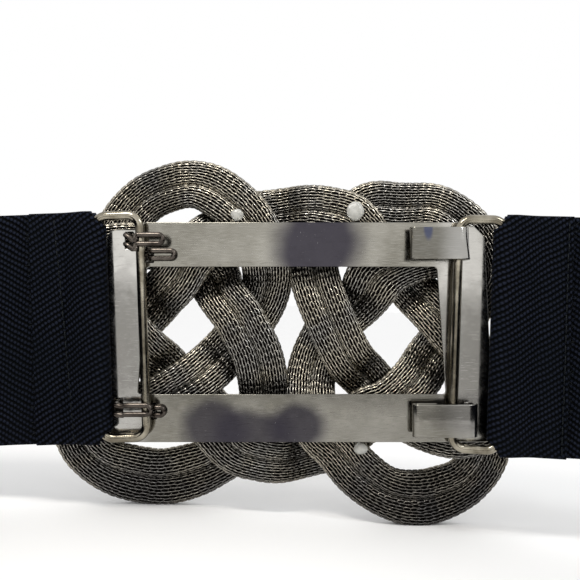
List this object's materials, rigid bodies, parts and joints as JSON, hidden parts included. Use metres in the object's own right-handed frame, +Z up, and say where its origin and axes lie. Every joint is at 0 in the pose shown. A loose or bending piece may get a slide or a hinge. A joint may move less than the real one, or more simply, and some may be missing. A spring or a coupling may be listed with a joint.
{
  "type": "elastic stretch belt",
  "caption": "Wide black elastic waist belt as a closed loop, its two wire rings held by a stamped metal back plate that carries an interlaced knot of metal mesh tubes.",
  "frame": {"origin": "on the surface that the belt stands on, under the middle of its bounding box", "axes": "+Z up, along the width of the band; +X along the buckle, to the wearer's left; +Y from the buckle to the back of the loop, the buckle's decorative front facing -Y"},
  "size_m": [0.2552, 0.2384, 0.0938],
  "materials": {
    "mesh": "knitted gunmetal wire",
    "plate": "polished black nickel with soft stains and scratches",
    "ring": "warm nickel-plated wire",
    "staple": "dark nickel wire",
    "glue": "cloudy hot-melt glue",
    "elastic": "black twill-faced woven elastic"
  },
  "bodies": {
    "root": {"knot_tube_a": "mesh", "knot_tube_b": "mesh", "back_plate": "plate", "ring_left": "ring", "ring_right": "ring", "staple_top": "staple", "staple_bottom": "staple", "glue_bead_1": "glue", "glue_bead_2": "glue", "glue_bead_3": "glue", "elastic_band": "elastic"}
  },
  "joints": []
}
